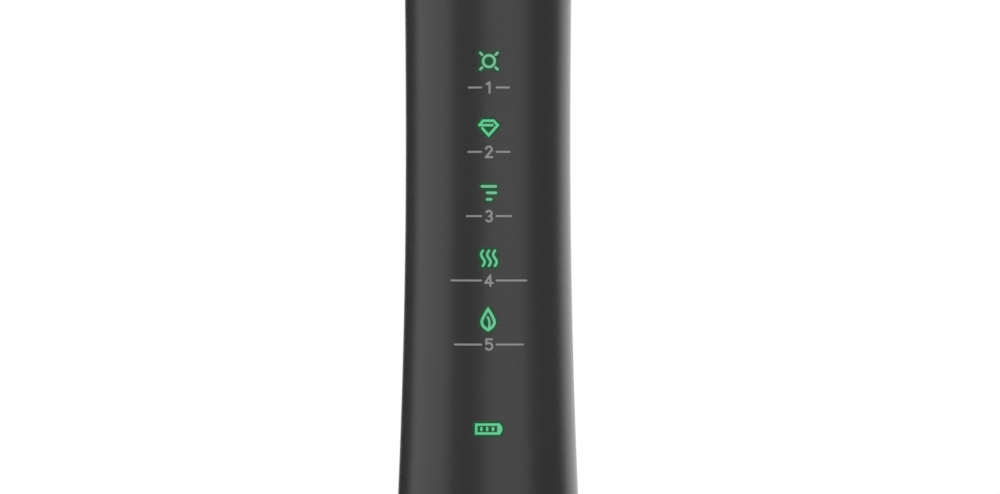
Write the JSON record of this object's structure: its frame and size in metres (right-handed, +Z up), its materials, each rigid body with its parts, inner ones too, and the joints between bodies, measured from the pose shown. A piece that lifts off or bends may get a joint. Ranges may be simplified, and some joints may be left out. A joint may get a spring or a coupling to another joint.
{
  "type": "electric toothbrush on charger",
  "caption": "Sonic toothbrush with a waisted round handle, standing in the seat of its round inductive charger.",
  "frame": {"origin": "centre of the underside of the charger's non-slip pad, on the surface that it stands on", "axes": "+Z up along the handle, -Y towards the front with the button, lights and bristles, +X to the right"},
  "size_m": [0.054, 0.0557, 0.2714],
  "materials": {
    "handle_plastic": "satin graphite, moulded",
    "charger_plastic": "satin graphite, moulded",
    "base_plastic": "fine spark-eroded texture",
    "grip_rubber": "matt",
    "seal_rubber": "smooth",
    "screw_steel": "zinc-plated",
    "board_green": "solder mask",
    "capacitor_sleeve": "sleeved",
    "chip_black": "moulded epoxy",
    "enamel_copper": "enamelled copper wire",
    "ferrite": "sintered",
    "bobbin_nylon": "natural nylon",
    "terminal_white": "moulded",
    "pin_gilt": "tinned brass",
    "chassis_grey": "glass-filled, moulded",
    "cell_wrap": "steel can in shrink wrap",
    "nickel": "plain strip",
    "foam": "closed-cell foam",
    "led_white": "clear resin",
    "mask_black": "moulded, opaque",
    "light_guide": "milky, light-carrying",
    "switch_black": "moulded",
    "motor_steel": "drawn",
    "bronze": "sintered bronze",
    "core_steel": "laminated",
    "magnet_nickel": "nickel-plated",
    "shaft_steel": "ground",
    "collar_metal": "bead-blasted",
    "button_plastic": "satin",
    "head_plastic": "satin",
    "ring_mint": "moulded",
    "acetal": "natural acetal",
    "bristle_white": "nylon filament",
    "bristle_mint": "nylon filament"
  },
  "bodies": {
    "charger": {"charger_housing": "charger_plastic", "charger_base_plate": "base_plastic", "charger_pad": "grip_rubber", "charger_screws": "screw_steel", "charger_board": "board_green", "charger_capacitor": "capacitor_sleeve", "charger_choke": "enamel_copper", "charger_driver_chip": "chip_black", "cord_terminal": "terminal_white", "cord_gland": "seal_rubber", "transmit_bobbin": "bobbin_nylon", "transmit_coil": "enamel_copper", "transmit_ferrite": "ferrite"},
    "handle": {"handle_shell": "handle_plastic", "end_cap": "handle_plastic", "end_cap_seal": "seal_rubber", "receive_bobbin": "bobbin_nylon", "receive_coil": "enamel_copper", "coil_pins": "pin_gilt", "chassis": "chassis_grey", "battery_cell": "cell_wrap", "battery_tabs": "nickel", "battery_pad": "foam", "main_board": "board_green", "board_screws": "screw_steel", "mode_leds": "led_white", "light_frame": "mask_black", "light_blocks": "light_guide", "controller_chip": "chip_black", "motor_driver_chip": "chip_black", "power_switch": "switch_black", "button_gasket": "seal_rubber", "motor_can": "motor_steel", "motor_cover": "motor_steel", "motor_bearings": "bronze", "motor_dampers": "seal_rubber", "motor_cushion": "seal_rubber", "motor_pins": "pin_gilt", "stator_core": "core_steel", "stator_coils": "enamel_copper", "shaft_seal": "seal_rubber", "nose_collar": "collar_metal"},
    "power_button": {"power_button": "button_plastic", "switch_plunger": "acetal"},
    "oscillator": {"drive_shaft": "shaft_steel", "shaft_clips": "screw_steel", "rotor_yoke": "core_steel", "rotor_magnets": "magnet_nickel"},
    "brush_head": {"brush_neck": "head_plastic", "head_ring": "ring_mint", "shaft_socket": "acetal", "socket_spring": "screw_steel", "outer_tufts": "bristle_white", "inner_tufts": "bristle_mint"}
  },
  "joints": [
    {"name": "handle_lift", "type": "slide", "parent": "charger", "child": "handle", "axis": [0, 0, 1], "range_m": [0, 0.05]},
    {"name": "shaft_oscillation", "type": "hinge", "parent": "handle", "child": "oscillator", "pos_m": [0, 0, 0.15], "axis": [0, 0, 1], "range_deg": [-4.5, 4.5], "stiffness_Nm_per_rad": 0.01},
    {"name": "head_pull", "type": "slide", "parent": "oscillator", "child": "brush_head", "axis": [0, 0, 1], "range_m": [0, 0.03]},
    {"name": "button_press", "type": "slide", "parent": "handle", "child": "power_button", "axis": [0, 1, 0], "range_m": [0, 0.0004], "stiffness_N_per_m": 700, "springref_m": -0.001}
  ]
}
